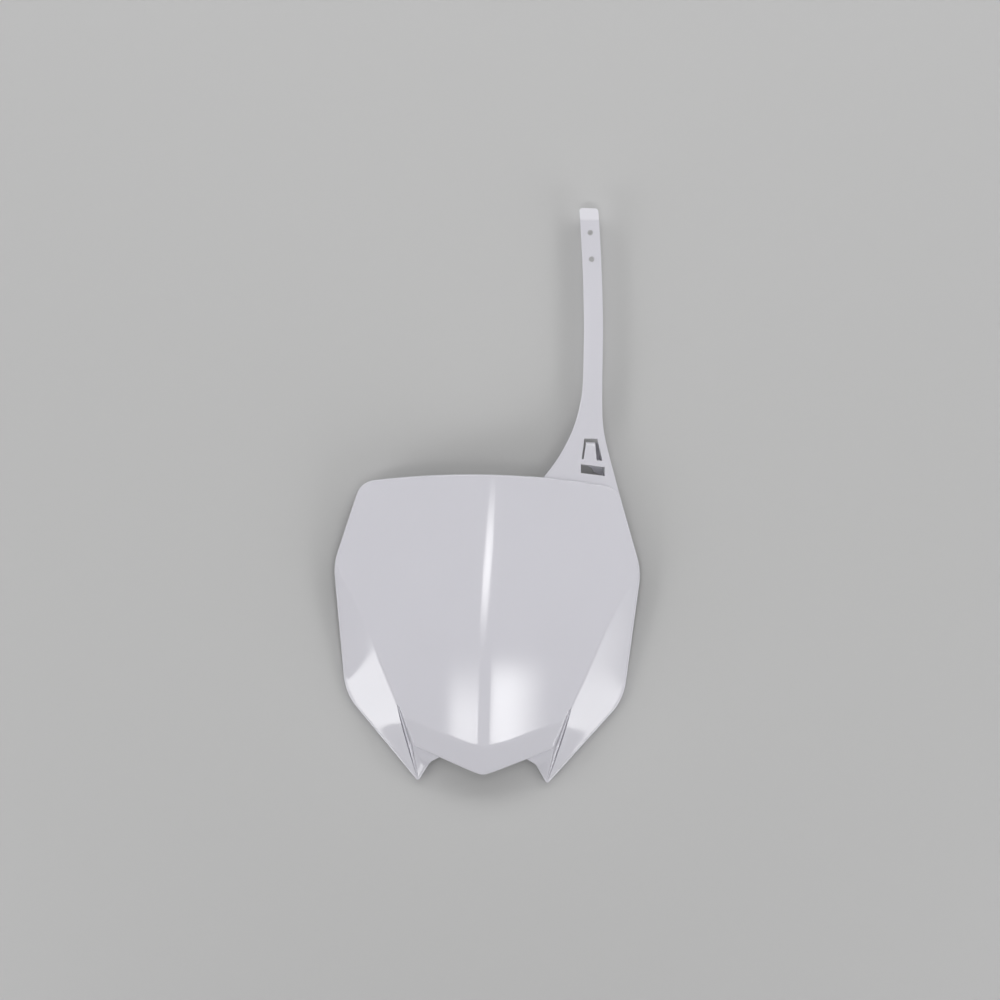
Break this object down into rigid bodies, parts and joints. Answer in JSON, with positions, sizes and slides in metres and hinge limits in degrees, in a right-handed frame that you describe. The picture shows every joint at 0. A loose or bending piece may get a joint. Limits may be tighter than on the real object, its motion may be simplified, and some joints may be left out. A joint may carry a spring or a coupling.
{
  "type": "racing number board",
  "caption": "Moulded plastic front number board for an off-road racing motorcycle, with swept cheeks, two lower horns, a hollow back and a long handlebar strap at its top right corner.",
  "frame": {"origin": "middle of the footprint, on the surface that the board lies on", "axes": "+Z leaves the face; +Y runs from the nose towards the end of the strap; +X to the side of the strap, which is the right as one looks at the face with the strap up"},
  "size_m": [0.2408, 0.4538, 0.0381],
  "materials": {
    "board_plastic": "cool white moulded polypropylene, glossy and slightly wavy"
  },
  "bodies": {
    "root": {"number_board": "board_plastic"}
  },
  "joints": []
}
